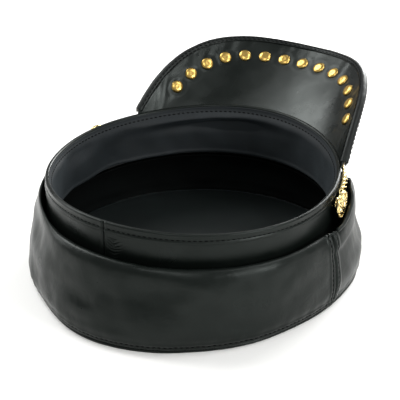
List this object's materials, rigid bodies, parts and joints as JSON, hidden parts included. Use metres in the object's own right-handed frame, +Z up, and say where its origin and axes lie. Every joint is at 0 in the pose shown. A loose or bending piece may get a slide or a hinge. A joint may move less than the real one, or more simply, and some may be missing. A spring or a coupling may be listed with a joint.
{
  "type": "leather peaked cap",
  "caption": "Black leather peaked cap lying upside down on its crown, with a riveted visor, a soft rolled crown, a stitched headband and a gold chain between two round side buttons.",
  "frame": {"origin": "centre of the flat outer face of the crown tip, which lies on the floor with the cap upside down", "axes": "+Z up out of the cap's opening, +Y towards the visor (the front), +X to the right seen from behind the cap"},
  "size_m": [0.2096, 0.2685, 0.1102],
  "materials": {
    "black_leather": "soft semi-gloss black leather with a fine grain",
    "binding_leather": "satin black leather tape, double stitched",
    "sweatband": "matt black-navy woven cloth",
    "lining": "smooth dark lining cloth with a faint sheen",
    "interlining": "matt buckram stiffener, hidden",
    "visor_board": "matt fibre board, hidden",
    "brass": "antiqued brass, satin",
    "gold": "polished pale gold plating"
  },
  "bodies": {
    "cap": {"crown_tip": "black_leather", "crown_front_panel": "black_leather", "crown_back_panel": "black_leather", "tip_interlining": "interlining", "lining_tip": "lining", "lining_side": "lining", "headband": "black_leather", "headband_stiffener": "interlining", "sweatband": "sweatband", "visor_under_cover": "black_leather", "visor_board": "visor_board", "visor_top_cover": "black_leather", "visor_edge_binding": "binding_leather", "visor_rivet_01": "brass", "visor_rivet_02": "brass", "visor_rivet_03": "brass", "visor_rivet_04": "brass", "visor_rivet_05": "brass", "visor_rivet_06": "brass", "visor_rivet_07": "brass", "visor_rivet_08": "brass", "visor_rivet_09": "brass", "visor_rivet_10": "brass", "visor_rivet_11": "brass", "visor_rivet_12": "brass", "visor_rivet_13": "brass", "visor_rivet_14": "brass"},
    "chain": {"chain": "gold", "chain_ring_left": "gold", "chain_ring_right": "gold"},
    "left_button": {"side_button_left": "gold", "button_washer_left": "brass"},
    "right_button": {"side_button_right": "gold", "button_washer_right": "brass"}
  },
  "joints": [
    {"name": "chain_swing", "type": "hinge", "parent": "cap", "child": "chain", "pos_m": [0, 0.02089, 0.0598], "axis": [1, 0, 0], "range_deg": [-6, 0]},
    {"name": "left_button_turn", "type": "hinge", "parent": "cap", "child": "left_button", "pos_m": [-0.09002, 0.02052, 0.0598], "axis": [-0.9808, 0.1952, 0], "continuous": true},
    {"name": "right_button_turn", "type": "hinge", "parent": "cap", "child": "right_button", "pos_m": [0.09002, 0.02052, 0.0598], "axis": [0.9808, 0.1952, 0], "continuous": true}
  ]
}
